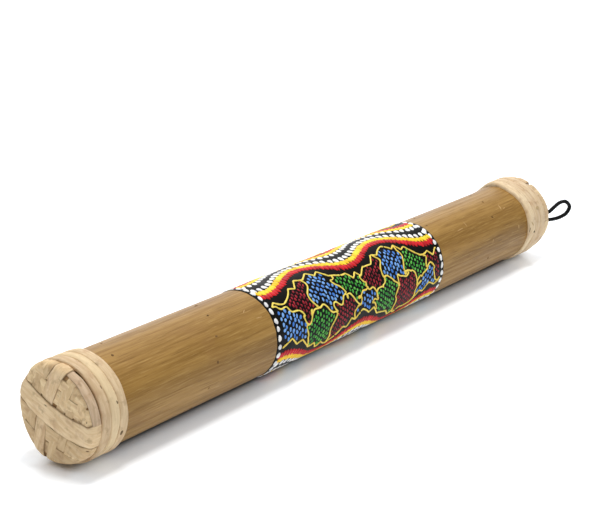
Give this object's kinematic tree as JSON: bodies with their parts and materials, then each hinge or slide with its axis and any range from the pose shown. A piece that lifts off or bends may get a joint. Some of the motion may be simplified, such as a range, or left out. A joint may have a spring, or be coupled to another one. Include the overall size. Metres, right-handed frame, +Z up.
{
  "type": "rainstick",
  "caption": "Bamboo rainstick lying on its side, with rattan-bound ends, a painted band, a cord loop, inner pins and sliding pebbles.",
  "frame": {"origin": "middle of the footprint, on the surface that the end bindings rest on", "axes": "+X along the tube's axis towards the end with the hanging loop, +Z up"},
  "size_m": [0.4389, 0.0466, 0.0466],
  "materials": {
    "bamboo": "satin",
    "paint": "gloss",
    "rattan_strip": "matte",
    "rattan_turn": "matte",
    "rattan_mat": "matte",
    "rattan_rim": "satin",
    "plug_wood": "matte",
    "pin_wood": "matte",
    "pebble": "matte",
    "cord": "matte"
  },
  "bodies": {
    "stick": {"bamboo_tube": "bamboo", "painted_band": "paint", "front_plug": "plug_wood", "front_mat": "rattan_mat", "front_strip_under": "rattan_strip", "front_strip_over": "rattan_strip", "front_rim_hoop": "rattan_rim", "front_turn_1": "rattan_turn", "front_turn_2": "rattan_turn", "front_turn_3": "rattan_turn", "rear_plug": "plug_wood", "rear_mat": "rattan_mat", "rear_strip_under": "rattan_strip", "rear_strip_over": "rattan_strip", "rear_rim_hoop": "rattan_rim", "rear_turn_1": "rattan_turn", "rear_turn_2": "rattan_turn", "rear_turn_3": "rattan_turn", "hanging_loop": "cord", "loop_knot": "cord", "rain_pin_01": "pin_wood", "rain_pin_02": "pin_wood", "rain_pin_03": "pin_wood", "rain_pin_04": "pin_wood", "rain_pin_05": "pin_wood", "rain_pin_06": "pin_wood", "rain_pin_07": "pin_wood", "rain_pin_08": "pin_wood", "rain_pin_09": "pin_wood", "rain_pin_10": "pin_wood", "rain_pin_11": "pin_wood", "rain_pin_12": "pin_wood", "rain_pin_13": "pin_wood", "rain_pin_14": "pin_wood", "rain_pin_15": "pin_wood", "rain_pin_16": "pin_wood", "rain_pin_17": "pin_wood", "rain_pin_18": "pin_wood", "rain_pin_19": "pin_wood", "rain_pin_20": "pin_wood", "rain_pin_21": "pin_wood", "rain_pin_22": "pin_wood", "rain_pin_23": "pin_wood", "rain_pin_24": "pin_wood", "rain_pin_25": "pin_wood", "rain_pin_26": "pin_wood", "rain_pin_27": "pin_wood", "rain_pin_28": "pin_wood", "rain_pin_29": "pin_wood", "rain_pin_30": "pin_wood", "rain_pin_31": "pin_wood", "rain_pin_32": "pin_wood"},
    "pebble_1": {"pebble_1": "pebble"},
    "pebble_2": {"pebble_2": "pebble"},
    "pebble_3": {"pebble_3": "pebble"},
    "pebble_4": {"pebble_4": "pebble"},
    "pebble_5": {"pebble_5": "pebble"},
    "pebble_6": {"pebble_6": "pebble"},
    "pebble_7": {"pebble_7": "pebble"},
    "pebble_8": {"pebble_8": "pebble"}
  },
  "joints": [
    {"name": "pebble_1_slide", "type": "slide", "parent": "stick", "child": "pebble_1", "axis": [1, 0, 0], "range_m": [-0.1655, 0.1795]},
    {"name": "pebble_2_slide", "type": "slide", "parent": "stick", "child": "pebble_2", "axis": [1, 0, 0], "range_m": [-0.1655, 0.1795]},
    {"name": "pebble_3_slide", "type": "slide", "parent": "stick", "child": "pebble_3", "axis": [1, 0, 0], "range_m": [-0.1655, 0.1795]},
    {"name": "pebble_4_slide", "type": "slide", "parent": "stick", "child": "pebble_4", "axis": [1, 0, 0], "range_m": [-0.2205, 0.1255]},
    {"name": "pebble_5_slide", "type": "slide", "parent": "stick", "child": "pebble_5", "axis": [1, 0, 0], "range_m": [-0.2205, 0.1255]},
    {"name": "pebble_6_slide", "type": "slide", "parent": "stick", "child": "pebble_6", "axis": [1, 0, 0], "range_m": [-0.2205, 0.1255]},
    {"name": "pebble_7_slide", "type": "slide", "parent": "stick", "child": "pebble_7", "axis": [1, 0, 0], "range_m": [-0.1155, 0.2435]},
    {"name": "pebble_8_slide", "type": "slide", "parent": "stick", "child": "pebble_8", "axis": [1, 0, 0], "range_m": [-0.1155, 0.2435]}
  ],
  "couplings": [
    {"joint": "pebble_2_slide", "follows": "pebble_1_slide", "ratio": 1},
    {"joint": "pebble_3_slide", "follows": "pebble_1_slide", "ratio": 1},
    {"joint": "pebble_5_slide", "follows": "pebble_4_slide", "ratio": 1},
    {"joint": "pebble_6_slide", "follows": "pebble_4_slide", "ratio": 1},
    {"joint": "pebble_8_slide", "follows": "pebble_7_slide", "ratio": 1}
  ]
}
